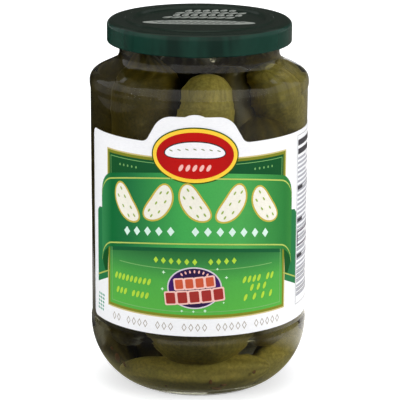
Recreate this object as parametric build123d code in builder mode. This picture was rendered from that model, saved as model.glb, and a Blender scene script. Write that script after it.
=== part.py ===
"""A round glass jar of whole pickles with a lug cap and a wrap-round paper label.

Units are millimetres. The origin is the centre of the circle on which the foot ring stands, +Z is up
and the middle of the label faces -Y. Angles are degrees from +X, counterclockwise seen from above.
"""

from build123d import *
from math import asin, cos, degrees, radians, sin, sqrt, tan
import os

# Glass body
panel_radius = 44.0  # recessed panel that carries the label
panel_height = 94.0
band_proud = 0.35  # how far the two protecting bands stand out of the panel
band_height = 1.2
band_slope_height = 1.8
band_fillet = 2.0
wall = 3.0
foot_radius = 29.3  # outer edge of the ring that the jar stands on
foot_width = 2.4
foot_edge_fillet = 0.8
heel_height = 25.2  # big rounded heel between the foot and the lower band
push_up = 3.0  # rise of the underside at the centre
base_thickness = 5.5
floor_fillet = 5.0

# Shoulder, neck and finish of the glass
shoulder_rise = 3.0  # from the upper band to where the shoulder's cone meets the band's cylinder
shoulder_slope = 64.0  # degrees away from vertical
shoulder_fillet = 4.6
neck_radius = 32.3
neck_wall = 2.9
neck_fillet = 5.0
finish_height = 15.6  # from the foot of the neck to the lip
lip_outer_fillet = 0.8
lip_inner_fillet = 0.7

# Threads on the glass, and the cap's lugs that hook under them
lug_count = 4
first_lug_angle = -87.0
thread_angle = 58.0
thread_rise = 2.1
thread_width = 2.6  # at its root, which is sunk into the neck
thread_depth = 2.0
thread_flank_angle = 68.0
thread_sink = 0.5
lug_angle = 15.0
lug_height = 1.1
lug_neck_gap = 0.6  # between a lug and the neck
lug_thread_gap = 0.2  # between a lug and the thread above it

# Cap
skirt_gap = 2.65  # between the threads and the skirt
cap_metal = 0.3
cap_height = 9.0
cap_shoulder_fillet = 2.3
cap_bend_fillet = 0.4
curl_radius = 0.75
curl_turn = 250.0  # how far the skirt's edge is rolled in, in degrees
bead_mouth_gap = 0.9  # from the mouth's edge out to the foot of the raised ring on the cap's top
bead_width = 2.6
bead_slope_width = 0.8
bead_rise = 0.55
centre_drop = 0.5
dimple_width = 6.0  # dent pressed into the skirt over each lug
dimple_height = 1.6
dimple_depth = 0.16
dimple_above_edge = 4.2

# Contents
headspace = 9.0  # from the brine's level up to the lip

# Label
label_bottom_margin = 2.0  # inside the panel
label_top_margin = 13.8
label_thickness = 0.15
label_start = 200.0  # angle of the paper's left edge
label_wrap = 315.0
label_corner_fillet = 2.6
tab_width = 38.8  # at the foot of the die-cut arch that stands above the label's top edge at the front
tab_height = 10.7
tab_side_angle = 62.0  # from the label's top edge up to its slanting sides
tab_corner_radius = 8.0
tab_foot_fillet = 3.0
tab_peak_radius = 8.0
tab_peak_rise = 1.0

# Sizes that follow from the ones above
band_radius = panel_radius + band_proud
panel_bottom = heel_height + band_height + band_slope_height
panel_top = panel_bottom + panel_height
upper_band_bottom = panel_top + band_slope_height
slope = radians(shoulder_slope)
cone_bottom = upper_band_bottom + band_height + shoulder_rise
neck_foot = cone_bottom + (band_radius - neck_radius) / tan(slope)
lip_height = neck_foot + finish_height

heel_drop = band_radius - foot_radius
heel_radius = (heel_drop**2 + heel_height**2) / (2 * heel_drop)
heel_centre_radius = band_radius - heel_radius
inner_radius = panel_radius - wall
inner_heel_radius = inner_radius - heel_centre_radius
floor_edge_height = heel_height - sqrt(
    inner_heel_radius**2 - (foot_radius - heel_centre_radius) ** 2
)
floor_centre_height = push_up + base_thickness
mouth_radius = neck_radius - neck_wall
inner_cone_bottom = cone_bottom - wall * tan(radians(45) - slope / 4)
inner_neck_foot = inner_cone_bottom + (inner_radius - mouth_radius) / tan(slope)
brine_level = lip_height - headspace

skirt_inside = neck_radius + thread_depth + skirt_gap
cap_radius = skirt_inside + cap_metal
cap_top = lip_height + cap_metal
cap_bottom = cap_top - cap_height
lug_inside = neck_radius + lug_neck_gap
lug_top = cap_bottom + lug_height
lug_step = 360 / lug_count
bead_foot = mouth_radius + bead_mouth_gap
bead_outside = bead_foot - bead_slope_width
bead_inside = bead_outside - bead_width

label_bottom = panel_bottom + label_bottom_margin
label_top = panel_top - label_top_margin
tab_top_width = tab_width - 2 * tab_height / tan(radians(tab_side_angle))
tab_top = label_top + tab_height


def draw_cavity(top):
    """Draws the inside of the glass from the axis at the floor, up the wall, to a height in the neck."""
    TangentArc((0, floor_centre_height), (foot_radius, floor_edge_height), tangent=(1, 0))
    start = degrees(asin((floor_edge_height - heel_height) / inner_heel_radius))
    CenterArc((heel_centre_radius, heel_height), inner_heel_radius, start, -start)
    FilletPolyline(
        (inner_radius, heel_height),
        (inner_radius, inner_cone_bottom),
        (mouth_radius, inner_neck_foot),
        (mouth_radius, top),
        radius=[shoulder_fillet, neck_fillet],
    )


def corner(sketch, radius, height):
    """The vertex of a sketch that lies nearest to a radius and a height."""
    return sketch.vertices().sort_by_distance((radius, height))[0]


def upright_plane(angle, radius=0):
    """The half plane through the axis at an angle, its own x pointing outwards and its y up."""
    outwards = Vector(cos(radians(angle)), sin(radians(angle)), 0)
    return Plane(origin=outwards * radius, x_dir=outwards, z_dir=outwards.cross(Vector(0, 0, 1)))


with BuildPart() as glass_jar:
    with BuildSketch(Plane.XZ) as section:
        with BuildLine():
            TangentArc((0, push_up), (foot_radius - foot_width, 0), tangent=(1, 0))
            Line((foot_radius - foot_width, 0), (foot_radius, 0))
            start = degrees(asin(-heel_height / heel_radius))
            CenterArc((heel_centre_radius, heel_height), heel_radius, start, -start)
            FilletPolyline(
                (band_radius, heel_height),
                (band_radius, heel_height + band_height),
                (panel_radius, panel_bottom),
                (panel_radius, panel_top),
                (band_radius, upper_band_bottom),
                (band_radius, cone_bottom),
                (neck_radius, neck_foot),
                (neck_radius, lip_height),
                (mouth_radius, lip_height),
                radius=[band_fillet] * 4 + [shoulder_fillet, neck_fillet, lip_outer_fillet],
            )
            draw_cavity(lip_height)
            Line((0, floor_centre_height), (0, push_up))
        make_face()
        fillet(corner(section, foot_radius, 0), foot_edge_fillet)
        fillet(corner(section, mouth_radius, lip_height), lip_inner_fillet)
        fillet(corner(section, foot_radius, floor_edge_height), floor_fillet)
    revolve(axis=Axis.Z)
    # Each thread starts over a lug of the closed cap and climbs counterclockwise.
    thread_start = lug_top + lug_thread_gap + thread_width / 2
    profile_height = thread_depth + thread_sink
    for n in range(lug_count):
        turn = first_lug_angle - lug_angle / 2 + n * lug_step
        with BuildLine(Plane.XY.offset(thread_start).rotated((0, 0, turn))) as path:
            Helix(
                thread_rise * 360 / thread_angle,
                thread_rise,
                neck_radius - thread_sink + profile_height / 2,
            )
        run = path.line
        with BuildSketch(Plane(origin=run @ 0, x_dir=(0, 0, 1), z_dir=run % 0)):
            Trapezoid(thread_width, profile_height, thread_flank_angle)
        sweep(is_frenet=True)
glass_jar.part.label = "glass_jar"

with BuildPart() as lid:
    half_metal = cap_metal / 2
    rim = cap_top - half_metal
    skirt = cap_radius - half_metal
    with BuildSketch(Plane.XZ):
        with BuildLine():
            FilletPolyline(
                (0, rim - centre_drop),
                (bead_inside - bead_slope_width, rim - centre_drop),
                (bead_inside, rim + bead_rise),
                (bead_outside, rim + bead_rise),
                (bead_foot, rim),
                (skirt, rim),
                (skirt, cap_bottom + curl_radius),
                radius=[cap_bend_fillet] * 4 + [cap_shoulder_fillet - half_metal],
            )
            curl_centre = (cap_radius - curl_radius, cap_bottom + curl_radius)
            CenterArc(curl_centre, curl_radius - half_metal, 0, -curl_turn)
        trace(line_width=cap_metal)
    revolve(axis=Axis.Z)
    # Four lugs pressed inwards out of the curl.
    for n in range(lug_count):
        turn = first_lug_angle - lug_angle / 2 + n * lug_step
        with BuildSketch(upright_plane(turn)):
            with Locations((lug_inside, lug_top)):
                Rectangle(
                    skirt_inside - lug_inside, lug_height, align=(Align.MIN, Align.MAX)
                )
        revolve(axis=Axis.Z, revolution_arc=lug_angle)
    # A small dent over each lug, the same depth on both sides of the metal.
    for n in range(lug_count):
        face = upright_plane(first_lug_angle + n * lug_step, cap_radius)
        outer_face = Plane(
            origin=face.origin + Vector(0, 0, cap_bottom + dimple_above_edge),
            x_dir=face.z_dir,
            z_dir=face.x_dir,
        )
        with BuildSketch(outer_face.offset(-cap_metal / 2)):
            SlotOverall(dimple_width, dimple_height)
        extrude(amount=-cap_metal / 2 - dimple_depth)
        with BuildSketch(outer_face.offset(-dimple_depth)):
            SlotOverall(dimple_width - 2 * cap_metal, dimple_height - 2 * cap_metal)
        extrude(amount=dimple_depth, mode=Mode.SUBTRACT)
lid.part.label = "lid"

with BuildPart() as brine:
    with BuildSketch(Plane.XZ) as filling:
        with BuildLine():
            draw_cavity(brine_level)
            Polyline((mouth_radius, brine_level), (0, brine_level), (0, floor_centre_height))
        make_face()
        fillet(corner(filling, foot_radius, floor_edge_height), floor_fillet)
    revolve(axis=Axis.Z)
brine.part.label = "brine"

with BuildPart() as label:
    with BuildSketch(upright_plane(label_start)):
        with Locations((panel_radius, label_bottom)):
            Rectangle(
                label_thickness,
                tab_top + tab_peak_rise - label_bottom,
                align=(Align.MIN, Align.MIN),
            )
    revolve(axis=Axis.Z, revolution_arc=label_wrap)
    # Cut the paper down to its top edge, except where the arched tab stands at the front.
    with BuildSketch(Plane.XZ) as waste:
        with Locations((0, label_top)):
            Rectangle(3 * panel_radius, 3 * tab_height, align=(Align.CENTER, Align.MIN))
            Trapezoid(
                tab_width,
                tab_height,
                tab_side_angle,
                align=(Align.CENTER, Align.MIN),
                mode=Mode.SUBTRACT,
            )
        with Locations((0, tab_top + tab_peak_rise - tab_peak_radius)):
            Circle(tab_peak_radius, mode=Mode.SUBTRACT)
        for side in (-1, 1):
            fillet(corner(waste, side * tab_width / 2, label_top), tab_foot_fillet)
            fillet(corner(waste, side * tab_top_width / 2, tab_top), tab_corner_radius)
    extrude(amount=2 * panel_radius, mode=Mode.SUBTRACT)
    with BuildSketch(Plane.XZ):
        with Locations((0, label_top)):
            Rectangle(3 * panel_radius, 3 * tab_height, align=(Align.CENTER, Align.MIN))
    extrude(amount=-2 * panel_radius, mode=Mode.SUBTRACT)
    # Round the paper's four corners: the hindmost edges that run through its thickness.
    short_edges = label.edges().filter_by(lambda edge: edge.length < 2 * label_thickness)
    fillet(short_edges.sort_by(Axis.Y)[-4:], label_corner_fillet)
label.part.label = "label"

os.makedirs("parts", exist_ok=True)
for piece in (glass_jar, lid, brine, label):
    export_step(piece.part, f"parts/{piece.part.label}.step")
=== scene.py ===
"""Looks of a jar of whole pickles: clear glass, brine, gherkins, a printed paper label and a lacquered cap.

Lengths are written in millimetres and handed to Blender in metres. Places on the label are given as
(u, v): u is the distance along the paper to the right of its middle, and v is the height.
"""

from math import cos, hypot, pi, radians, sin, sqrt

import bmesh
import bpy
import numpy as np
from mathutils import Euler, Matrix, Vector


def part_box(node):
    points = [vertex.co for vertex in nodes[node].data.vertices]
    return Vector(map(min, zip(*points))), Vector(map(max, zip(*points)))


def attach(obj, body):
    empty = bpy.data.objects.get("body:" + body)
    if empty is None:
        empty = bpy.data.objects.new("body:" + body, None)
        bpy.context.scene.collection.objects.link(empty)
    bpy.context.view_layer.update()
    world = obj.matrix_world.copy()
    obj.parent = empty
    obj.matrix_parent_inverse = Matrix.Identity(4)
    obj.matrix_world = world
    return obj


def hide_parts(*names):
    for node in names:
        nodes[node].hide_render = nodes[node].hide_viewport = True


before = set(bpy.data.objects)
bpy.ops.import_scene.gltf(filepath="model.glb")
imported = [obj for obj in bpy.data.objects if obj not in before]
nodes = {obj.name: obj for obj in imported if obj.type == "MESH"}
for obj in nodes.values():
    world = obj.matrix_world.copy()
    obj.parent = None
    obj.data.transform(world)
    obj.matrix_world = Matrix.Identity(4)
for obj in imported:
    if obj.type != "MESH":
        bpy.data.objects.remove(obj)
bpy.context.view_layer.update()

MM = 0.001

# The frame's own sizes, in millimetres
brine_low, brine_high = (Vector(corner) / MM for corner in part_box("brine"))
label_low = Vector(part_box("label")[0]) / MM
lid_low, lid_high = (Vector(corner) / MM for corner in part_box("lid"))
label_radius = -label_low.y
inner_radius = brine_high.x
lid_sunk = 1.05  # how far the flat middle of the cap lies below its raised ring
lid_middle = lid_high.z - lid_sunk


# ---------------------------------------------------------------- helpers


def link(obj):
    bpy.context.scene.collection.objects.link(obj)
    return obj


def piece(name, mesh, material):
    """A new piece of the object, with its material, riding on the one body."""
    obj = link(bpy.data.objects.new(name, mesh))
    mesh.materials.append(material)
    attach(obj, "root")
    return obj


def linear(red, green, blue):
    """A colour written as it looks on a screen, 0 to 255, as the shader wants it."""
    def channel(value):
        value /= 255
        return value / 12.92 if value <= 0.04045 else ((value + 0.055) / 1.055) ** 2.4
    return (channel(red), channel(green), channel(blue), 1)


class Shader:
    """Builds a material's nodes with short calls."""

    def __init__(self, name):
        self.material = bpy.data.materials.new(name)
        self.material.use_nodes = True
        self.tree = self.material.node_tree
        self.tree.nodes.clear()
        self.output = self.add("ShaderNodeOutputMaterial")

    def add(self, kind, settings=None, **inputs):
        node = self.tree.nodes.new(kind)
        for name, value in (settings or {}).items():
            setattr(node, name, value)
        for name, value in inputs.items():
            self.set(node, name.replace("_", " "), value)
        return node

    def set(self, node, name, value):
        socket = node.inputs[int(name)] if name.isdigit() else node.inputs[name]
        if isinstance(value, bpy.types.NodeSocket):
            self.tree.links.new(value, socket)
        else:
            socket.default_value = value

    def math(self, operation, a, b=0.0, clamp=False):
        node = self.tree.nodes.new("ShaderNodeMath")
        node.operation = operation
        node.use_clamp = clamp
        self.set(node, "0", a)
        self.set(node, "1", b)
        return node.outputs[0]

    def mix(self, factor, a, b, blend="MIX"):
        node = self.tree.nodes.new("ShaderNodeMix")
        node.data_type = "RGBA"
        node.blend_type = blend
        self.set(node, "0", factor)
        self.set(node, "6", a)
        self.set(node, "7", b)
        return node.outputs[2]

    def ramp(self, factor, *stops):
        node = self.tree.nodes.new("ShaderNodeValToRGB")
        ramp = node.color_ramp
        while len(ramp.elements) < len(stops):
            ramp.elements.new(0.5)
        for element, (position, colour) in zip(ramp.elements, stops):
            element.position = position
            element.color = colour if len(colour) == 4 else (*colour, 1)
        self.set(node, "0", factor)
        return node.outputs[0]

    def map_range(self, value, low, high, to_low=0.0, to_high=1.0, steps="SMOOTHSTEP"):
        node = self.add(
            "ShaderNodeMapRange",
            {"interpolation_type": steps},
            Value=value,
            From_Min=low,
            From_Max=high,
            To_Min=to_low,
            To_Max=to_high,
        )
        return node.outputs["Result"]

    def smooth_steps(self, value, *stops):
        """A level that goes smoothly through the given (value, level) stops."""
        level = stops[0][1]
        for (a, low), (b, high) in zip(stops, stops[1:]):
            level = self.math("ADD", self.map_range(value, a, b, 0.0, high - low), level)
        return level

    def place(self, scale=(1, 1, 1)):
        """Where a point of the object is, in metres, stretched by scale."""
        coordinates = self.add("ShaderNodeTexCoord")
        mapping = self.add("ShaderNodeMapping", Vector=coordinates.outputs["Object"], Scale=scale)
        return mapping.outputs[0]

    def split(self):
        """The X, Y and Z of a point of the object, in metres."""
        return self.add("ShaderNodeSeparateXYZ", Vector=self.place()).outputs

    def noise(self, scale, detail=3.0, stretch=(1, 1, 1), roughness=0.55):
        node = self.add(
            "ShaderNodeTexNoise", Vector=self.place(stretch), Scale=scale, Detail=detail, Roughness=roughness
        )
        return node.outputs["Fac"]

    def bump(self, height, distance, strength=1.0):
        node = self.add("ShaderNodeBump", Height=height, Distance=distance * MM, Strength=strength)
        return node.outputs[0]

    def body(self, colour, roughness, ior, **inputs):
        """The one shader that every material of the object is made with."""
        node = self.add("ShaderNodeBsdfPrincipled", Base_Color=colour, Roughness=roughness, IOR=ior, **inputs)
        return node.outputs[0]

    def finish(self, shader):
        self.tree.links.new(shader, self.output.inputs["Surface"])
        return self.material


# ---------------------------------------------------------------- materials


def glass_material(name="clear_glass", mirror=(1, 1, 1, 1)):
    """Clear glass. Where brine wets it, mirror is black, because that side hardly reflects."""
    s = Shader(name)
    waves = s.noise(45, detail=1.0, stretch=(1, 1, 0.7))
    neck_waves = s.noise(150, detail=2.0, stretch=(1, 1, 1.6))
    calm, wavy = (lid_low.z - 8) * MM, (lid_low.z - 3) * MM  # the neck is wavier than the rest
    in_neck = s.smooth_steps(s.split()["Z"], (calm, 0.0), (wavy, 1.2))
    waves = s.math("ADD", waves, s.math("MULTIPLY", neck_waves, in_neck))
    body = s.body(
        (0.975, 0.99, 0.978, 1),
        roughness=0.0,
        ior=1.48,
        Normal=s.bump(waves, 0.25, 0.5),
        Transmission_Weight=1.0,
        Specular_Tint=mirror,
    )
    return let_lamps_through(s, body, (0.96, 0.98, 0.965, 1))


def let_lamps_through(s, body, tint):
    """Lets shadow rays pass, so that lamps reach what is inside."""
    path = s.add("ShaderNodeLightPath")
    clear = s.add("ShaderNodeBsdfTransparent", Color=tint)
    mix = s.add("ShaderNodeMixShader")
    s.set(mix, "0", path.outputs["Is Shadow Ray"])
    s.set(mix, "1", body)
    s.set(mix, "2", clear.outputs[0])
    return s.finish(mix.outputs[0])


def brine_material():
    """Yellow-green brine. It doesn't reflect where it meets the glass."""
    s = Shader("brine")
    body = s.body(
        (0.90, 0.87, 0.66, 1), roughness=0.0, ior=1.33, Transmission_Weight=1.0, Specular_Tint=(0, 0, 0, 1)
    )
    return let_lamps_through(s, body, (0.88, 0.84, 0.6, 1))


def pickle_material():
    """Skin that takes its tone from the mesh, with fine grain and larger blotches over it."""
    s = Shader("pickle_skin")
    tone = s.add("ShaderNodeVertexColor", {"layer_name": "tone"})
    fine = s.noise(900, detail=4.0)
    blotches = s.noise(120, detail=3.0)
    fine_shade = s.ramp(fine, (0.35, (0.45, 0.45, 0.45)), (0.7, (1.2, 1.2, 1.1)))
    blotch_shade = s.ramp(blotches, (0.35, (0.55, 0.6, 0.5)), (0.65, (1.15, 1.1, 1.0)))
    colour = s.mix(0.55, tone.outputs["Color"], fine_shade, "MULTIPLY")
    colour = s.mix(0.5, colour, blotch_shade, "MULTIPLY")
    height = s.math("ADD", s.math("MULTIPLY", fine, 0.3), blotches)
    return s.finish(s.body(colour, roughness=0.4, ior=1.4, Normal=s.bump(height, 0.5, 0.6)))


def spice_material():
    s = Shader("spice")
    grain = s.noise(900, detail=3.0)
    return s.finish(s.body(s.mix(grain, linear(92, 56, 26), linear(134, 88, 48)), roughness=0.5, ior=1.4))


def lid_material():
    """Green lacquer, near black on the flat top, and a little streaky round the skirt."""
    s = Shader("green_lacquer")
    grain = s.noise(260, detail=3.0)
    streaks = s.noise(110, detail=2.0, stretch=(1, 1, 0.15))
    green = s.mix(grain, linear(10, 46, 36), linear(17, 56, 45))
    green = s.mix(s.ramp(streaks, (0.38, (1, 1, 1)), (0.5, (0, 0, 0))), green, linear(4, 34, 26))
    black_from, black_by = (lid_high.z - 1.45) * MM, (lid_high.z - 1.25) * MM
    on_top = s.map_range(s.split()["Z"], black_from, black_by, steps="LINEAR")
    top = s.mix(grain, linear(22, 34, 27), linear(28, 40, 33))
    colour = s.mix(on_top, green, top)
    return s.finish(s.body(colour, roughness=0.22, ior=1.35, Normal=s.bump(grain, 0.05, 0.3)))


def printed(s, ink, gloss=0.35):
    """Finishes a material as ink, with a faint grain in it."""
    grain = s.noise(1500, detail=2.0)
    shade = s.ramp(grain, (0.3, (0.93, 0.93, 0.93)), (0.7, (1.0, 1.0, 1.0)))
    return s.finish(s.body(s.mix(1.0, ink, shade, "MULTIPLY"), roughness=gloss, ior=1.2))


def print_material(name, colour, edge_colour=None, gloss=0.35, reach=46.0):
    """Ink of one colour, which may turn to another at reach millimetres to the sides."""
    s = Shader(name)
    ink = linear(*colour)
    if edge_colour is not None:
        side = s.math("ABSOLUTE", s.math("MULTIPLY", s.split()["X"], 1 / (reach * MM)))
        side = s.math("POWER", side, 2.2, clamp=True)
        ink = s.mix(side, ink, linear(*edge_colour))
    return printed(s, ink, gloss)


def ribbon_material():
    """Green that is bright in the middle, deep short of the ends and lighter again where it rolls back."""
    s = Shader("ribbon_green_ink")
    along = s.math("ADD", s.math("MULTIPLY", s.split()["X"], 1 / (2 * label_radius * MM)), 0.5)
    ink = s.ramp(
        along,
        (0.06, linear(58, 142, 84)),
        (0.12, linear(14, 106, 52)),
        (0.2, linear(30, 112, 62)),
        (0.45, linear(66, 166, 80)),
        (0.7, linear(76, 166, 82)),
        (0.9, linear(44, 124, 56)),
        (0.97, linear(66, 142, 60)),
    )
    return printed(s, ink)


def panel_material():
    """Green that darkens towards the ribbon above it."""
    s = Shader("panel_green_ink")
    foot, rise = 38 * MM, 28 * MM
    up = s.math("MULTIPLY", s.math("SUBTRACT", s.split()["Z"], foot), 1 / rise)
    ink = s.ramp(
        up,
        (0.0, linear(88, 176, 68)),
        (0.5, linear(80, 168, 70)),
        (0.78, linear(56, 132, 66)),
        (1.0, linear(34, 96, 50)),
    )
    return printed(s, ink)


def paper_material():
    s = Shader("label_paper")
    fibres = s.noise(700, detail=4.0, stretch=(1, 1, 3))
    colour = s.ramp(fibres, (0.3, linear(238, 238, 240)), (0.7, linear(245, 245, 246)))
    return s.finish(s.body(colour, roughness=0.4, ior=1.45, Normal=s.bump(fibres, 0.02, 0.3)))


# ---------------------------------------------------------------- pickles

# One row each: angle of the middle from the front (to the right), its distance from the jar's axis and
# its height, how far it leans to the right and outwards (degrees), width, length, bend, and how pale it
# is, from 0 for the darkest to a little over 1
# The paleness is partly the skin's own tone and partly painted light and shade: the front pickles low in the
# jar are made paler as painted light, in place of light from below that doesn't reach them, and the one seen
# in the gap right of the middle is made dark as painted shade.
PICKLES = (
    # lying on the floor of the jar, bowed along its wall
    # the front ones are made paler as painted light, for light from below that doesn't reach them
    (-2, 22.5, 10.5, 87, 0, 15.0, 56, 9.0, 0.95),
    (97, 22, 13.0, 86, 0, 14.0, 40, 7.0, 1.0),
    (-106, 22, 12.5, 92, 0, 14.0, 40, 7.0, 0.4),
    (178, 16, 17.0, 96, 0, 19.0, 46, 4.0, 0.7),
    # standing on those
    # the broad middle one is made paler as painted light, for light from below that its foot doesn't get
    (4, 21.0, 48, 3, -1, 43, 69, 1.0, 1.25),
    (-66, 27, 54, -7, 2, 27, 72, -2.5, 0.16),
    (68, 27, 53, 5, 2, 28, 70, 3.0, 1.05),
    (120, 27, 52, -4, 1, 27, 72, 2.0, 0.6),
    (178, 24, 62, 2, 0, 28, 62, 2.0, 0.45),
    (-120, 26, 52, 5, 2, 28, 72, -2.0, 0.4),
    (180, 5, 60, 2, 0, 20, 50, 1.0, 0.1),
    (-135, 10, 38, 3, 0, 21, 44, 1.0, 0.3),
    # packed on top
    (0, 28.2, 105, 13, -2, 21.0, 54, 1.5, 1.1),
    (-43, 27.5, 111, -2, 0, 25, 58, 2.0, 0.45),
    (80, 27, 117, -42, 0, 20, 36, 0.8, 1.0),
    (60, 25, 92, -5, 0, 24, 46, -2.0, 0.35),
    # made dark as painted shade, for the gap between the pickles that it fills
    (40, 13, 106, 6, 0, 21, 52, 1.5, 0.2),
    (106, 28, 104, 5, -2, 23, 52, 2.0, 0.9),
    (155, 26.5, 109, -4, -6, 24, 56, 2.0, 0.5),
    (-159, 26.5, 109, 4, -6, 24, 56, -2.0, 0.25),
    (-103, 27.5, 109, -5, -2, 25, 54, 2.0, 0.3),
    (-120, 4, 110, 3, 0, 22, 58, 1.0, 0.05),
    # lying in the middle of the floor
    (-60, 9, 14.0, 90, 0, 19.0, 38, 1.0, 0.3),
)


def gherkin(rng, width, length, bend):
    """Vertices of an upright gherkin with its foot at the origin, with how pale each one's skin is."""
    rings, around = 72, 58  # as fine as the joined mesh of all of them allows
    t = (np.arange(rings + 1) / rings)[:, None]
    t = 0.5 - 0.5 * np.cos(pi * t)
    turn = (np.arange(around) / around * 2 * pi)[None, :]
    full = 0.5 + rng.uniform(-0.06, 0.06)
    along = np.where(t < full, (full - t) / full, (t - full) / (1 - full))
    radius = width / 2 * np.sqrt(np.clip(1 - along ** 3.2, 0, 1))
    lobes = 0.035 * np.cos(3 * turn + rng.uniform(0, 6)) + 0.02 * np.cos(5 * turn + rng.uniform(0, 6) + 2 * t)
    radius = radius * (1 + lobes)

    def humps(count, end, reaches, heights):
        """Round humps and dips, scattered over the skin between a share end from each of its ends."""
        field = np.zeros((rings + 1, around))
        for _ in range(count):
            at, angle = rng.uniform(end, 1 - end), rng.uniform(0, 2 * pi)
            reach, height = rng.uniform(*reaches), rng.uniform(*heights)
            away_squared = ((t - at) * length) ** 2 + (arc(turn - angle) * width / 2) ** 2
            field += height * np.exp(-away_squared / reach ** 2)
        return field

    swell = humps(26, 0.05, reaches=(3.0, 7.0), heights=(-0.35, 0.6))
    skin_for_each_wart = 22  # square millimetres of length times width
    warts = humps(int(length * width / skin_for_each_wart), 0.06, reaches=(0.8, 1.5), heights=(0.2, 0.6))
    radius = radius + (swell + warts) * np.clip(4 * (1 - along), 0, 1)
    spine = bend * (4 * t * (1 - t) - 0.5)
    x = radius * np.cos(turn) + spine
    y = radius * np.sin(turn)
    z = t * length + 0 * turn
    streaks = 0.5 + 0.5 * np.cos(9 * turn + 3 * np.sin(2.2 * t + rng.uniform(0, 6)) + rng.uniform(0, 6))
    pale = 0.30 * streaks * (0.3 + 0.7 * along) + 0.22 * np.clip(warts, 0, 0.6) - 0.25 * (t - 0.5)
    return np.stack([x, y, z], axis=-1), pale


def arc(angle):
    """The same angle between minus half a turn and half a turn."""
    return (angle + pi) % (2 * pi) - pi


def cavity_radius(z):
    """Radius of the inside of the glass at a height, less a film of brine."""
    heel, heel_height, heel_reach = 15.73, 25.2, 25.27
    shoulder, shoulder_slope, neck, film = 126.0, 2.05, 29.4, 0.35
    wall = np.full_like(z, inner_radius)
    low = np.clip(heel_height - z, 0, heel_reach)
    wall = np.where(z < heel_height, heel + np.sqrt(heel_reach ** 2 - low ** 2), wall)
    wall = np.where(z > shoulder, inner_radius - (z - shoulder) * shoulder_slope, wall)
    return np.maximum(wall, neck) - film


def cavity_floor(reach):
    """Height of the glass floor inside at a distance from the axis, with a film of brine over it."""
    centre, edge, edge_reach, film = 8.5, 3.9, 29.3, 0.6
    return centre - (centre - edge) * np.minimum(reach / edge_reach, 1) ** 2 + film


def lay(points, angle, out, height, lean, lean_out):
    """Stands a gherkin in the jar: leans it, moves it out from the axis and turns it to its place."""
    tilt = np.array(Euler((radians(lean_out), radians(lean), 0)).to_matrix())
    place = np.array(Euler((0, 0, radians(angle))).to_matrix())
    laid = (points @ tilt.T + (0, -out, 0)) @ place.T
    reach = np.hypot(laid[:, 0], laid[:, 1])
    laid[:, 2] = np.maximum(laid[:, 2] + height, cavity_floor(reach))
    # where it presses against the glass it lies flat along it
    laid[:, :2] *= np.minimum(1, cavity_radius(laid[:, 2]) / np.maximum(reach, 1e-6))[:, None]
    return laid


def make_pickles():
    """All the pickles as one mesh, with the tone of the skin written on its vertices."""
    rng = np.random.default_rng(7)
    verts, faces, tones = [], [], []
    shades = [np.array(linear(*colour)[:3]) for colour in ((40, 33, 7), (106, 92, 32), (204, 188, 112))]
    start = 0
    for angle, out, height, lean, lean_out, width, length, bend, paleness in PICKLES:
        points, pale = gherkin(rng, width, length, bend)
        rings, around = pale.shape
        points = points.reshape(-1, 3) - (0, 0, length / 2)
        about = rng.uniform(0, 2 * pi) if lean < 45 else -pi / 2
        spin = np.array(Euler((0, 0, about)).to_matrix())  # those that lie keep their bow along the wall
        verts.append(lay(points @ spin.T, angle, out, height, lean, lean_out))
        ring = np.arange(around)
        for row in range(rings - 1):
            a, b = start + row * around + ring, start + row * around + (ring + 1) % around
            faces.append(np.stack([a, b, b + around, a + around], axis=-1))
        start += rings * around
        level = np.clip(paleness + pale.reshape(-1) - 0.1, 0, 1)[:, None] * 2
        tone = shades[0] + (shades[1] - shades[0]) * np.clip(level, 0, 1)
        tones.append(tone + (shades[2] - tone) * np.clip(level - 1, 0, 1))
    mesh = bpy.data.meshes.new("pickles")
    mesh.from_pydata((np.concatenate(verts) * MM).tolist(), [], np.concatenate(faces).tolist())
    colour = mesh.color_attributes.new("tone", "FLOAT_COLOR", "POINT")
    rgba = np.concatenate([np.concatenate(tones), np.ones((len(mesh.vertices), 1))], axis=1)
    colour.data.foreach_set("color", rgba.astype(np.float32).ravel())
    # each end of a gherkin becomes one vertex
    bm = bmesh.new()
    bm.from_mesh(mesh)
    bmesh.ops.remove_doubles(bm, verts=bm.verts[:], dist=1e-7)
    bm.to_mesh(mesh)
    bm.free()
    mesh.shade_smooth()
    return piece("pickles", mesh, pickle_material())


def make_spices():
    """Brown flecks of spice that have sunk to the foot of the jar, most of them in front."""
    rng = np.random.default_rng(5)
    thickness, off_the_wall = 0.45, 0.2
    bm = bmesh.new()
    for angle, height, size in (
        (-52, 15.0, 2.2), (-47, 13.2, 1.5), (-55, 18.5, 1.3), (14, 6.8, 2.6), (19, 8.0, 1.7), (10, 9.5, 1.2),
        (-20, 7.0, 1.0), (38, 12.0, 1.1), (140, 11.0, 2.0), (-130, 9.0, 1.8), (95, 14.0, 1.4),
    ):
        made = bmesh.ops.create_icosphere(bm, subdivisions=2, radius=1.0)
        stretch = (size * rng.uniform(0.7, 1.1), thickness, size * rng.uniform(0.5, 0.8))
        spin = Euler((0, rng.uniform(0, pi), 0)).to_matrix()
        turn = Euler((0, 0, radians(angle))).to_matrix()
        out = float(cavity_radius(np.array([height]))[0]) - off_the_wall
        for vert in made["verts"]:
            point = spin @ Vector([c * k for c, k in zip(vert.co, stretch)])
            vert.co = (turn @ (point + Vector((0, -out, 0))) + Vector((0, 0, height))) * MM
    mesh = bpy.data.meshes.new("spice_flecks")
    bm.to_mesh(mesh)
    bm.free()
    mesh.shade_smooth()
    return piece("spice_flecks", mesh, spice_material())


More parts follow.
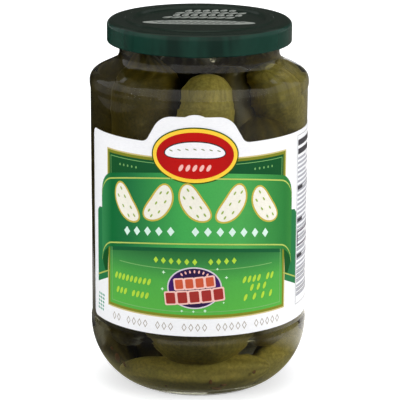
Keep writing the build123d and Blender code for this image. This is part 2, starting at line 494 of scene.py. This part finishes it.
def make_brine():
    """The brine, grown by half a percent so that it reaches just into the glass."""
    mesh = nodes["brine"].data.copy()
    mesh.name = "brine_liquid"
    mesh.materials.clear()
    middle, growth = (brine_low.z + brine_high.z) / 2 * MM, 1.005
    for vertex in mesh.vertices:
        x, y, z = vertex.co
        vertex.co = (x * growth, y * growth, min(middle + (z - middle) * growth, brine_high.z * MM))
    obj = piece("brine_liquid", mesh, brine_material())
    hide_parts("brine")
    return obj


# ---------------------------------------------------------------- print on the label

layer_gap = 0.03  # how much further out each layer of ink lies
cut_width = 1.5  # the flat shapes are cut this fine before they are bent round the jar


def round_the_jar(u, v, proud):
    """Where (u, v) on the label is, proud millimetres above the paper."""
    angle, radius = u / label_radius, label_radius + proud
    return (radius * sin(angle) * MM, -radius * cos(angle) * MM, v * MM)


def on_the_lid(u, v, proud):
    """Where (u, v) on the cap's sunk middle is, with u to the right and v to the back."""
    return (u * MM, v * MM, (lid_middle + proud) * MM)


class Ink:
    """Collects flat shapes of one ink, and lays them on the part as one thin closed piece."""

    def __init__(self, name, material, layer, where=round_the_jar, slot="printed_paper"):
        self.name, self.material, self.layer = name, material, layer
        self.where, self.slot = where, slot
        self.shapes = []

    def add(self, *outlines):
        self.shapes.extend(outlines)

    def lay(self):
        bm = bmesh.new()
        for outline in self.shapes:
            bm.faces.new([bm.verts.new((u, v, 0)) for u, v in outline])
        bmesh.ops.remove_doubles(bm, verts=bm.verts[:], dist=1e-4)
        bmesh.ops.triangulate(bm, faces=bm.faces[:], ngon_method="EAR_CLIP")
        left = min(vert.co.x for vert in bm.verts)
        right = max(vert.co.x for vert in bm.verts)
        for n in range(int(left // cut_width) + 1, int(right // cut_width) + 1):
            bmesh.ops.bisect_plane(
                bm,
                geom=bm.verts[:] + bm.edges[:] + bm.faces[:],
                plane_co=(n * cut_width, 0, 0),
                plane_no=(1, 0, 0),
                dist=1e-6,
            )
        bmesh.ops.recalc_face_normals(bm, faces=bm.faces[:])
        for face in bm.faces:
            if face.normal.z < 0:
                face.normal_flip()
        thickness = 0.8 * layer_gap
        made = bmesh.ops.extrude_face_region(bm, geom=bm.faces[:])
        for element in made["geom"]:
            if isinstance(element, bmesh.types.BMVert):
                element.co.z += thickness
        base = (self.layer - 0.9) * layer_gap
        for vert in bm.verts:
            u, v, proud = vert.co
            vert.co = self.where(u, v, base + proud)
        mesh = bpy.data.meshes.new(self.name)
        bm.to_mesh(mesh)
        bm.free()
        return piece(self.name, mesh, self.material)


def oval(u, v, width, height, tilt=0.0, steps=40):
    """An ellipse, turned clockwise by tilt degrees."""
    points = []
    for n in range(steps):
        x, y = width / 2 * cos(2 * pi * n / steps), height / 2 * sin(2 * pi * n / steps)
        points.append(turned(x, y, u, v, tilt))
    return points


def oval_mark(u, v, width, height, tilt=0.0):
    """An ellipse of few points, for a small mark."""
    return oval(u, v, width, height, tilt, 12)


def turned(x, y, u, v, tilt):
    """A point (x, y) of a shape that is turned clockwise by tilt degrees and moved to (u, v)."""
    c, s = cos(radians(tilt)), sin(radians(tilt))
    return (u + x * c + y * s, v - x * s + y * c)


def block(u, v, width, height, tilt, corner):
    """A rectangle with rounded corners."""
    points = []
    for n, (sx, sy) in enumerate(((1, 1), (-1, 1), (-1, -1), (1, -1))):
        for step in range(6):
            angle = pi / 2 * (n + step / 5)
            x = sx * (width / 2 - corner) + corner * cos(angle)
            y = sy * (height / 2 - corner) + corner * sin(angle)
            points.append(turned(x, y, u, v, tilt))
    return points


def lozenge(u, v, width, height, tilt=0.0):
    tips = ((width / 2, 0), (0, height / 2), (-width / 2, 0), (0, -height / 2))
    return [turned(x, y, u, v, tilt) for x, y in tips]


def box_between(left, bottom, right, top):
    return [(left, bottom), (right, bottom), (right, top), (left, top)]


def strip(left, right, low, high, steps):
    """What lies between two curves, each a function of u, as one block for each step."""
    across = [left + (right - left) * n / steps for n in range(steps + 1)]
    return [[(a, low(a)), (b, low(b)), (b, high(b)), (a, high(a))] for a, b in zip(across, across[1:])]


def frame_line(left, bottom, right, top, width):
    """Four mitred bars round a rectangle: the left one, the right, the bottom and the top."""
    outer = box_between(left, bottom, right, top)
    inner = box_between(left + width, bottom + width, right - width, top - width)
    return [[outer[a], outer[b], inner[b], inner[a]] for a, b in ((3, 0), (1, 2), (0, 1), (2, 3))]


def gherkin_shape(u, v, width, height, tilt=0.0, bend=0.0, grow=0.0, steps=48):
    """The outline of an upright gherkin, bowed to one side."""
    points = []
    for n in range(steps):
        angle = 2 * pi * n / steps
        y = (height / 2 + grow) * sin(angle)
        level = sin(angle)
        half = (width / 2 + grow) * (1 - abs(level) ** 2.6) ** 0.5
        x = (half if cos(angle) >= 0 else -half) + bend * (0.5 - level ** 2)
        points.append(turned(x, y, u, v, tilt))
    return points


def leaf_shape(u, v, width, length, tilt=0.0, steps=9):
    """A leaf, pointed at both ends."""
    ys = [length * (n / (steps - 1) - 0.5) for n in range(steps)]
    right = [(width / 2 * (1 - (2 * y / length) ** 2), y) for y in ys]
    left = [(-x, y) for x, y in reversed(right[1:-1])]
    return [turned(x, y, u, v, tilt) for x, y in right + left]


def row_of_marks(shape, places, width, height, sag=None, tilt=0.0):
    """A line of small plain marks where small print would stand: sag(u) lifts or lowers each one."""
    return [shape(u, v + (sag(u) if sag else 0), width, height, tilt) for u, v in places]


def evenly(left, right, v, groups):
    """Places for groups of marks, such as (5, 7), with a space between the groups."""
    count = sum(groups) + len(groups) - 1
    step = (right - left) / (count - 1)
    places, n = [], 0
    for size in groups:
        places += [(left + (n + k) * step, v) for k in range(size)]
        n += size + 1
    return places


# Front of the label: a dark banner, a medallion over it, a ribbon that rolls back at its ends, and a panel
panel_half, panel_foot = 41.1, label_low.z + 7.2
banner_top = 102.8
gold_edge, olive_edge, fine_line = 0.55, 1.15, 0.3
ribbon_half, ribbon_high, ribbon_low = 45.4, 97.0, 66.7
ribbon_roll_start, ribbon_roll = 38.4, 7.0
ribbon_hem, ribbon_line = 1.9, 0.55
tail_half, tail_top, tail_foot = 49.6, 75.2, 45.2
medallion_height, medallion_half_width, medallion_half_height = 103.9, 17.3, 11.3
badge_height, badge_half_width, badge_half_height = 50.3, 10.9, 8.6
sag_rate = 0.00285  # how fast the ribbon's edges drop away from the middle
ribbon_steps = 120


def ribbon_sag(u):
    """How far the ribbon's edges drop away from the middle, and roll down at its ends."""
    past = min(max((abs(u) - ribbon_roll_start) / ribbon_roll, 0), 1)
    return -sag_rate * u * u - ribbon_roll * (1 - sqrt(1 - past * past))


def ribbon_edge(height):
    """A curve that sags as the ribbon does, at a height in the middle."""
    return lambda u: height + ribbon_sag(u)


def mirrored(outline):
    return [(-u, v) for u, v in reversed(outline)]


def both_sides(outline):
    return (outline, mirrored(outline))


def make_banner(gold, olive, dark_green, faint):
    """The dark field behind the medallion. Its foot is under the ribbon."""
    foot = 88.0
    for ink, inset in ((gold, 0), (olive, gold_edge), (dark_green, gold_edge + olive_edge)):
        ink.add(box_between(inset - panel_half, foot, panel_half - inset, banner_top - inset))
    inset, line = 2.6, 0.25
    half = panel_half - inset
    left, right, _, top = frame_line(-half, foot, half, banner_top - inset, line)
    faint.add(left, right, top)


def make_panel(gold, olive, panel_green, lime):
    """The green field below the ribbon. Its top is under the ribbon."""
    top = 68.0
    for ink, inset in ((gold, 0), (olive, gold_edge), (panel_green, gold_edge + olive_edge)):
        ink.add(box_between(inset - panel_half, panel_foot + inset, panel_half - inset, top))
    inset = 2.9
    half = panel_half - inset
    left, right, foot, _ = frame_line(-half, panel_foot + inset, half, top, fine_line)
    lime.add(left, right, foot)
    rule_half, rule_height = 33.3, 57.6
    lime.add(box_between(-rule_half, rule_height, rule_half, rule_height + fine_line))


def make_tails(tail_green, shadow_green, tail_gold):
    """The ribbon's slanted tails, and its dark back where it rolls over above them."""
    slant = 4.0
    tail = [
        (ribbon_half - 0.5, tail_top + 2.0),
        (panel_half - 1, tail_foot + slant),
        (tail_half, tail_foot),
        (tail_half, tail_top),
        (tail_half - 1.6, tail_top + 1.6),
    ]
    tail_green.add(*both_sides(tail))
    line = [
        (panel_half - 1, tail_foot + slant + 2.6),
        (tail_half - 0.2, tail_foot + 2.7),
        (tail_half - 0.2, tail_foot + 3.3),
        (panel_half - 1, tail_foot + slant + 3.2),
    ]
    tail_gold.add(*both_sides(line))
    back = [(panel_half - 1, 64)] + [
        (ribbon_half - 4.0 + 3.9 * cos(angle), 59 + 8.2 * sin(angle))
        for angle in (radians(20 - 11 * n) for n in range(11))
    ]
    shadow_green.add(*both_sides(list(reversed(back))))


def make_ribbon(green, gold, hem_shadow):
    """The ribbon, a thin line along each of its hems, and its shadow on the panel."""
    def band(half, low, high, steps=ribbon_steps):
        return strip(-half, half, ribbon_edge(low), ribbon_edge(high), steps)

    green.add(*band(ribbon_half, ribbon_low, ribbon_high))
    for height in (ribbon_high - ribbon_hem, ribbon_low + ribbon_hem):
        gold.add(*band(ribbon_half, height - ribbon_line, height))
    shadow_inset, shadow_drop, shadow_tuck = 2.5, 1.5, 1
    hem_shadow.add(*band(panel_half - shadow_inset, ribbon_low - shadow_drop, ribbon_low + shadow_tuck, 80))


def make_medallion(inks):
    """A plain oval. A spotted gherkin lies across it, with a row of five small marks below."""
    half_width, half_height = medallion_half_width, medallion_half_height
    for ink, inset in ((inks["outline"], 0), (inks["yellow"], 0.5), (inks["red"], 2.0)):
        ink.add(oval(0, medallion_height, 2 * (half_width - inset), 2 * (half_height - inset), steps=96))
    for ink, grow in ((inks["black"], 0.45), (inks["white"], 0.0)):
        ink.add(gherkin_shape(0, medallion_height + 1.6, 6.2, 23.5, 90, -1.4, grow))
    for n in range(-3, 4):
        inks["outline_fine"].add(oval(3.1 * n, medallion_height + 2.6 - 0.08 * n * n, 1.5, 0.45, 20))
    for n in range(-2, 3):
        inks["blush"].add(oval(2.7 * n, medallion_height - 4.9, 1.5, 2.9, 28))


def make_big_marks(gold, cream, detail):
    """Five spotted gherkins in a row across the ribbon, leaning by turns to each side."""
    pitch, row_height, width, length, edge = 14.7, 84.7, 7.8, 16.4, 0.7
    spots = ((-1.8, 4.2), (1.4, 2.4), (-1.4, -0.4), (1.7, -2.6), (-1.6, -4.8), (0.7, -6.0), (0.8, 6.0))
    for n in range(-2, 3):
        u = pitch * n
        v = row_height + 0.95 * ribbon_sag(u)
        tilt, bend = (34, 1.5) if n % 2 else (-34, -1.5)
        gold.add(gherkin_shape(u, v, width, length, tilt, bend, edge))
        cream.add(gherkin_shape(u, v, width, length, tilt, bend))
        for x, y in spots:
            du, dv = turned(x + bend * (0.5 - (y / (length / 2)) ** 2), y, 0, 0, tilt)
            detail.add(oval(u + du, v + dv, 0.7, 1.6, tilt, 12))


def make_small_marks(white, lime, yellow_green):
    """Rows of diamonds and small ovals, in groups, on the ribbon, the panel and the banner."""
    white.add(*row_of_marks(lozenge, evenly(-29.0, 29.6, 73.3, (5, 7)), 3.0, 3.8, ribbon_sag))
    yellow_green.add(*row_of_marks(lozenge, evenly(-15.6, 15.8, 61.0, (6, 4)), 2.0, 2.7))
    for left, right, v, groups in (
        (-35.2, -18.6, 51.4, (9,)),
        (-34.3, -19.6, 45.6, (3, 4)),
        (20.3, 33.4, 52.7, (4, 2)),
        (23.6, 29.6, 49.1, (3,)),
        (20.8, 32.8, 45.3, (4,)),
    ):
        yellow_green.add(*row_of_marks(oval_mark, evenly(left, right, v, groups), 1.35, 3.0, tilt=22))
    for side in (-1, 1):
        lime.add(*row_of_marks(oval_mark, evenly(side * 32.8, side * 24.5, 97.4, (5,)), 0.7, 1.0))


def make_badge(inks):
    """A round badge with two rows of sugar cubes across it, and sparkles about it."""
    half_width, half_height = badge_half_width, badge_half_height
    for ink, inset in ((inks["white_low"], 0), (inks["purple"], 0.55)):
        ink.add(oval(0, badge_height, 2 * (half_width - inset), 2 * (half_height - inset), steps=72))
    for n in range(-3, 4):
        angle = radians(12 * n)
        v = badge_height - 0.1 + 6.9 * cos(angle)
        inks["blush"].add(oval_mark(8.6 * sin(angle), v, 0.7, 1.3, 12 * n))
    gap, rise, tilt, edge, face_inset = 0.45, 0.10, -6, 0.7, 0.5
    for count, width, height, v, ink in (
        (4, 3.6, 4.3, badge_height + 2.0, inks["orange"]),
        (5, 4.3, 5.0, badge_height - 3.6, inks["brick"]),
    ):
        for n in range(count):
            u = (n - (count - 1) / 2) * (width + gap)
            lift = rise * u
            inks["pink"].add(block(u, v + lift, width + edge, height + edge, tilt, 0.7))
            ink.add(block(u, v + lift, width - face_inset, height - face_inset, tilt, 0.5))
    for u, v, size in (
        (-12.4, 56.2, 1.6), (-12.9, 49.3, 1.5), (9.0, 58.0, 1.1), (12.7, 54.3, 1.4),
        (-5.0, 40.7, 1.2), (-0.4, 40.6, 1.2), (4.2, 40.9, 1.5), (11.6, 44.0, 1.0),
    ):
        inks["sparkle"].add(lozenge(u, v, size, size * 0.45), lozenge(u, v, size * 0.45, size))


def make_foot_row(grey):
    """Diamonds in thin outline along the foot of the label."""
    outer_u, outer_v, inner_u, inner_v = 1.0, 1.7, 0.7, 1.2
    for u, v in evenly(-36.8, 36.8, label_low.z + 3.7, (2, 4, 3, 4, 5, 5)):
        for side in (-1, 1):
            tip, inner_tip = (u + side * outer_u, v), (u + side * inner_u, v)
            grey.add(
                [tip, (u, v + side * outer_v), (u, v + side * inner_v), inner_tip],
                [tip, inner_tip, (u, v - side * inner_v), (u, v - side * outer_v)],
            )


def make_side_column(text_grey, dark_grey, plum):
    """The ruled column of small print to the right of the front."""
    rng = np.random.default_rng(3)
    left, right, foot, top = 50.6, 92.0, 36.2, 106.6
    dark_grey.add(box_between(left, 102.2, left + 22, 104.6), box_between(left, 98.6, left + 15, 100.9))
    dark_grey.add(*frame_line(left - 0.7, foot, right + 1.0, top, 0.12))
    v, last, pitch, thick = 96.4, 38.5, 1.9, 0.95
    while v > last:
        text_grey.add(box_between(left, v, left + rng.uniform(9, 20), v + thick))
        text_grey.add(box_between(right - rng.uniform(3, 6), v, right, v + thick))
        if rng.random() < 0.3:
            dark_grey.add(box_between(left, v - 0.75, right, v - 0.5))
        v -= pitch
    for v in (84.0, 70.5, 55.5):
        dark_grey.add(box_between(left, v, left + 5.5, v + 1.5))
    plum.add(*frame_line(left + 0.2, 60.6, left + 30, 66.6, 0.45))


def make_left_marks(sea_green):
    """A small block of marks at the lower left of the front."""
    for row in range(5):
        for column in range(3):
            sea_green.add(oval_mark(-48.4 + 1.9 * column - 0.2 * row, 40.4 - 1.55 * row, 1.4, 0.9, 25))


def print_lid():
    """A pale gherkin lying across the cap under a spray of leaves."""
    grey_ink = print_material("lid_grey_ink", (150, 154, 148), gloss=0.3)
    dark_ink = print_material("lid_dark_ink", (40, 50, 43), gloss=0.3)
    pale = Ink("print_lid", grey_ink, 1, on_the_lid, "green_cap")
    dark = Ink("print_lid_shade", dark_ink, 2, on_the_lid, "green_cap")
    pale.add(gherkin_shape(0, -6.8, 8.6, 45.0, 90, -0.6))
    for row, count in ((-1, 5), (0, 6), (1, 5)):
        for n in range(-count, count + 1):
            u = 2.9 * n + 1.2 * row
            dark.add(oval(u, -7.1 + 1.9 * row + 0.004 * u * u, 2.3, 1.0, 12 + 5 * row, 16))
    spray_reach = 24.5
    for n in range(-4, 4):
        for row in range(4):
            reach = 3.0 + 5.4 * row
            u = 3.6 * n + 0.42 * reach + 1.2 * (row % 2)
            v, tilt = 1.6 + reach * (1 - 0.02 * abs(n)), 46 - 26 * (row % 2)
            if hypot(u, v) < spray_reach:
                pale.add(leaf_shape(u, v, 2.7, 5.6, tilt))
                dark.add(leaf_shape(*turned(0, -1.4, u, v, tilt), 0.6, 3.6, tilt))
    pale.lay()
    dark.lay()


def make_back(gold, dark_green, text_grey, dark_grey, cream):
    """Plain fields of print on the back: a banner, a ruled block of lines and a row of bars."""
    rng = np.random.default_rng(11)
    left, right, banner_foot, edge = 99.0, 180.0, 91.0, 0.8
    gold.add(box_between(left, banner_foot, right, banner_top))
    dark_green.add(box_between(left + edge, banner_foot + edge, right - edge, banner_top - edge))
    for n in range(6):
        cream.add(gherkin_shape(left + 9.5 + 12.4 * n, 96.9, 3.6, 8.4, 90 - 24 * (n % 2), 0.6))
    pitch, thick = 2.3, 1.0
    v = 86.0
    while v > 60:
        text_grey.add(box_between(left, v, right - rng.uniform(0, 26), v + thick))
        v -= pitch
    bar, bar_foot, bar_top = left + 44.0, 38.0, 56.0
    while bar < right - 1.5:
        width = rng.choice((0.35, 0.7, 1.05))
        dark_grey.add(box_between(bar, bar_foot, bar + width, bar_top))
        bar += width + rng.choice((0.35, 0.7, 1.0))
    v = 54.0
    while v > bar_foot:
        text_grey.add(box_between(left, v, left + rng.uniform(22, 38), v + thick))
        v -= pitch


def mix_ink(piece_name, colour_name, colour, layer, edge_colour=None, **looks):
    """An ink for the label. The higher its layer, the further out it lies."""
    material = print_material(colour_name + "_ink", colour, edge_colour, **looks)
    return Ink("print_" + piece_name, material, layer)


def print_label():
    """Mixes the inks, draws with them, and lays each one on the paper."""
    gold = mix_ink("gold_edges", "gold_edge", (208, 192, 128), 1)
    olive = mix_ink("olive_edges", "olive", (128, 132, 34), 2)
    tail_green = mix_ink("ribbon_tails", "tail_green", (46, 122, 62), 1, (34, 120, 74))
    tail_gold = mix_ink("tail_lines", "tail_gold", (176, 190, 92), 3)
    shadow_green = mix_ink("ribbon_backs", "shadow_green", (20, 84, 36), 2)
    dark_green = mix_ink("banner", "banner_green", (20, 84, 46), 3, (24, 82, 34))
    panel_green = Ink("print_panel", panel_material(), 3)
    lime = mix_ink("fine_lines", "lime", (122, 178, 104), 4)
    hem_shadow = mix_ink("ribbon_shadow", "hem_shadow", (24, 92, 52), 4)
    green = Ink("print_ribbon", ribbon_material(), 5)
    ribbon_gold = mix_ink("ribbon_lines", "ribbon_gold", (184, 200, 96), 6)
    letter_gold = mix_ink("mark_edges", "mark_gold", (196, 176, 70), 6)
    cream = mix_ink("marks", "cream", (240, 236, 222), 7)
    detail = mix_ink("mark_spots", "spot", (150, 176, 74), 8)
    white = mix_ink("white_row", "white", (214, 240, 226), 6)
    yellow_green = mix_ink("green_rows", "yellow_green", (176, 214, 62), 5)
    inks = {
        "outline": mix_ink("medallion_outline", "outline", (52, 82, 20), 6),
        "yellow": mix_ink("medallion_ring", "yellow", (252, 208, 62), 7),
        "red": mix_ink("medallion", "red", (190, 14, 10), 8, (172, 12, 14), reach=17),
        "black": mix_ink("medallion_shade", "black", (38, 34, 38), 9),
        "white": mix_ink("medallion_gherkin", "medallion_white", (246, 244, 246), 10),
        "outline_fine": mix_ink("medallion_spots", "spot_dark", (140, 150, 110), 11),
        "blush": mix_ink("blush_marks", "blush", (248, 186, 178), 9),
        "white_low": mix_ink("badge_edge", "badge_white", (214, 206, 214), 5),
        "purple": mix_ink("badge", "purple", (44, 26, 66), 6, (66, 24, 104), reach=10),
        "pink": mix_ink("badge_cube_edges", "pink", (244, 196, 186), 7),
        "orange": mix_ink("badge_cubes_upper", "orange", (202, 86, 54), 8),
        "brick": mix_ink("badge_cubes_lower", "brick", (160, 48, 44), 8),
        "sparkle": mix_ink("sparkles", "sparkle", (214, 246, 214), 5),
    }
    foot_grey = mix_ink("foot_row", "foot_grey", (168, 156, 142), 1)
    text_grey = mix_ink("small_lines", "text_grey", (172, 172, 180), 1)
    dark_grey = mix_ink("dark_lines", "dark_grey", (66, 64, 68), 2)
    plum = mix_ink("ruled_box", "plum", (70, 36, 66), 3)
    sea_green = mix_ink("left_marks", "sea_green", (70, 158, 124), 1)

    make_banner(gold, olive, dark_green, lime)
    make_panel(gold, olive, panel_green, lime)
    make_tails(tail_green, shadow_green, tail_gold)
    make_ribbon(green, ribbon_gold, hem_shadow)
    make_medallion(inks)
    make_big_marks(letter_gold, cream, detail)
    make_small_marks(white, lime, yellow_green)
    make_badge(inks)
    make_foot_row(foot_grey)
    make_side_column(text_grey, dark_grey, plum)
    make_left_marks(sea_green)
    make_back(gold, dark_green, text_grey, dark_grey, cream)
    for ink in (
        gold, olive, tail_green, tail_gold, shadow_green, dark_green, panel_green, lime, hem_shadow, green,
        ribbon_gold, letter_gold, cream, detail, white, yellow_green, *inks.values(), foot_grey, text_grey,
        dark_grey, plum, sea_green,
    ):
        ink.lay()


# ---------------------------------------------------------------- camera, floor and light


def make_stage():
    """A pale floor, which glows a little where it is seen, so that it comes out as white as a studio's."""
    reach, glow_strength = 6.0, 0.48
    mesh = bpy.data.meshes.new("floor")
    rim = [(-reach, -reach, 0), (reach, -reach, 0), (reach, reach, 0), (-reach, reach, 0)]
    mesh.from_pydata(rim, [], [(0, 1, 2, 3)])
    floor = link(bpy.data.objects.new("floor", mesh))
    s = Shader("floor")
    pale = s.add("ShaderNodeBsdfDiffuse", Color=(0.8, 0.8, 0.8, 1))
    path = s.add("ShaderNodeLightPath")
    seen = s.math("ADD", path.outputs["Is Camera Ray"], path.outputs["Is Glossy Ray"])
    seen = s.math("ADD", seen, path.outputs["Is Transmission Ray"], clamp=True)
    glow = s.add("ShaderNodeEmission", Color=(1, 1, 1, 1), Strength=s.math("MULTIPLY", seen, glow_strength))
    both = s.add("ShaderNodeAddShader")
    s.set(both, "0", pale.outputs[0])
    s.set(both, "1", glow.outputs[0])
    mesh.materials.append(s.finish(both.outputs[0]))


def make_world():
    world = bpy.data.worlds.new("studio")
    bpy.context.scene.world = world
    world.use_nodes = True
    background = world.node_tree.nodes["Background"]
    background.inputs["Color"].default_value = (0.97, 0.98, 1.0, 1)
    background.inputs["Strength"].default_value = 0.55


card_white = (1, 0.97, 0.9, 1)


def card(name, outline, shade, pale=0.0, tint=None):
    """A studio card that only reflections, and views and light through glass, meet.

    shade(s, point) gives its brightness from where it is, and tint(s, point) its colour.
    """
    mesh = bpy.data.meshes.new(name)
    mesh.from_pydata([Vector(corner) * MM for corner in outline], [], [tuple(range(len(outline)))])
    obj = link(bpy.data.objects.new(name, mesh))
    s = Shader(name)
    where = s.add("ShaderNodeNewGeometry")
    point = s.add("ShaderNodeSeparateXYZ", Vector=where.outputs["Position"]).outputs
    # to light that falls on what lies in the jar, it is no darker than pale
    path = s.add("ShaderNodeLightPath")
    lighting = s.math("GREATER_THAN", path.outputs["Diffuse Depth"], 0.5)
    strength = s.math("MAXIMUM", shade(s, point), s.math("MULTIPLY", lighting, pale))
    glow = s.add("ShaderNodeEmission", Color=tint(s, point) if tint else card_white, Strength=strength)
    mesh.materials.append(s.finish(glow.outputs[0]))
    obj.visible_camera = False
    obj.visible_diffuse = False
    obj.visible_shadow = False


def side_card(name, x, low, high, bottom, top, level, front_level):
    """An upright card beside the jar, from y = low to y = high. Its front edge has a level of its own."""
    fade_reach = 150

    def shade(s, point):
        return s.map_range(point["Y"], low * MM, (low + fade_reach) * MM, front_level, level)

    card(name, [(x, low, bottom), (x, high, bottom), (x, high, top), (x, low, top)], shade)


def board(name, half_width, near, far, level):
    """A wide card of one level. Its two long edges are at near and far, each (y, z)."""
    (y_near, z_near), (y_far, z_far) = near, far
    outline = [(-half_width, y_near, z_near), (half_width, y_near, z_near)]
    outline += [(half_width, y_far, z_far), (-half_width, y_far, z_far)]
    card(name, outline, lambda s, point: level)


def floor_card(inner, outer, height, steps=64):
    """A card lying on the floor round the jar's foot, as a ring that is cut open on one side."""
    turns = [2 * pi * n / steps for n in range(steps + 1)]
    rim = [(outer * cos(t), outer * sin(t), height) for t in turns]
    rim += [(inner * cos(t), inner * sin(t), height) for t in reversed(turns)]
    card("dark_floor", rim, floor_shade, pale=1.0, tint=painted_brine_light)


def softbox(name, place, size, power, aim):
    """A square lamp, size metres wide, that reflections don't show."""
    lamp = bpy.data.lights.new(name, "AREA")
    lamp.shape = "SQUARE"
    lamp.size = size
    lamp.energy = power
    obj = link(bpy.data.objects.new(name, lamp))
    obj.location = Vector(place) * MM
    obj.rotation_euler = (Vector(aim) * MM - obj.location).to_track_quat("-Z", "Y").to_euler()
    obj.visible_glossy = False


def make_lights():
    make_world()
    middle_of_jar = (0, 0, 75)
    for name, place, size, power in (
        ("left_softbox", (-1100, -560, 720), 0.9, 8.4),
        ("right_softbox", (1150, -420, 620), 0.9, 10.0),
        ("top_softbox", (0, 100, 1300), 1.2, 5.0),
        ("back_softbox", (250, 1150, 650), 0.9, 4.0),
    ):
        softbox(name, place, size, power, middle_of_jar)
    front, middle, back = -165, -20, 900
    foot, shoulder, neck, top = 1, 98, 113, 142
    for side, x, level, front_level in (("left", -120, 0.01, 0.3), ("right", 130, 0.2, 0.5)):
        side_card(side + "_flag", x, front, back, foot, shoulder, level, front_level)
        side_card(side + "_back_flag", x, middle, back, shoulder, top, level, 0.8 * front_level)
        side_card(side + "_top_flag", x - 1, front, back, neck, top, level, front_level)
    board("back_flag", 1500, (1500, 150), (1500, 1450), 0.05)
    board("top_flag", 1200, (350, 1600), (1500, 1600), 0.04)
    board("front_board", 2200, (-1500, 60), (350, 1650), 0.85)
    floor_card(inner=31.0, outer=1450.0, height=0.6)


def from_axis(s, point):
    """How far a point is from the jar's axis, in metres."""
    across = s.math("MULTIPLY", point["X"], point["X"])
    along = s.math("MULTIPLY", point["Y"], point["Y"])
    return s.math("POWER", s.math("ADD", across, along), 0.5)


def painted_brine_light(s, point):
    """Painted light: under the edge of the jar the floor is painted olive, in place of the light that has
    come through the brine.
    """
    under = s.smooth_steps(from_axis(s, point), (0.042, 1.0), (0.056, 0.0))
    return s.mix(under, card_white, (1, 0.93, 0.5, 1))


def floor_shade(s, point):
    """Dark close to the jar, paler further off, and bright at the back right."""
    away = from_axis(s, point)
    # the bright step right under the jar's edge is painted light, which goes with the olive of
    # painted_brine_light
    near_stops = (0.042, 0.26), (0.056, 0.06), (0.075, 0.06), (0.17, 0.36)
    far_stops = (0.33, 0.5), (0.47, 0.5), (0.56, 0.26)
    all_round = s.smooth_steps(away, *near_stops, *far_stops)
    right = s.math("ADD", s.math("MULTIPLY", point["X"], 0.8), s.math("MULTIPLY", point["Y"], 0.6))
    side = s.smooth_steps(right, (0.035, 0.0), (0.075, 1.0))
    side = s.math("MULTIPLY", side, s.smooth_steps(away, (0.18, 1.2), (0.34, 0.0)))
    return s.math("MAXIMUM", all_round, side)


def make_camera():
    distance, elevation, azimuth, roll = 900.0, 14.94, 2.0, 0.25
    aim = Vector((0.5, 0, 74.46))
    data = bpy.data.cameras.new("camera")
    data.sensor_width, data.lens = 36, 197.4
    data.clip_start, data.clip_end = 0.01, 20
    obj = link(bpy.data.objects.new("camera", data))
    away = Vector((
        sin(radians(azimuth)) * cos(radians(elevation)),
        -cos(radians(azimuth)) * cos(radians(elevation)),
        sin(radians(elevation)),
    ))
    obj.location = (aim + away * distance) * MM
    obj.rotation_mode = "QUATERNION"
    obj.rotation_quaternion = away.to_track_quat("Z", "Y") @ Euler((0, 0, radians(roll))).to_quaternion()
    bpy.context.scene.camera = obj


# ---------------------------------------------------------------- finishes of the frame's nodes


def dress(node, material):
    """Gives a node of the frame a material in place of its own."""
    slots = nodes[node].data.materials
    slots.clear()
    slots.append(material)


def dress_glass():
    """Two finishes: the outside of the glass, and its inside, which the brine wets."""
    dress("glass_jar", glass_material())
    mesh = nodes["glass_jar"].data
    mesh.materials.append(glass_material("wetted_glass", (0, 0, 0, 1)))
    floor_top = 20
    for face in mesh.polygons:
        x, y, z = face.center / MM
        outwards = (face.normal.x * x + face.normal.y * y) / max(hypot(x, y), 1e-6)
        on_floor = face.normal.z > 0.5 and z < floor_top
        on_wall = outwards < -0.15 and z > brine_low.z - 1
        if z < brine_high.z and (on_floor or on_wall):
            face.material_index = 1


# ---------------------------------------------------------------- the scene

scene = bpy.context.scene
scene.view_settings.view_transform = "Standard"
scene.cycles.caustics_refractive = False
scene.cycles.caustics_reflective = False
scene.cycles.max_bounces = 16
scene.cycles.transmission_bounces = 16
scene.cycles.transparent_max_bounces = 16

make_camera()
make_lights()
make_stage()
dress_glass()
dress("lid", lid_material())
dress("label", paper_material())
make_brine()
make_pickles()
make_spices()
print_label()
print_lid()
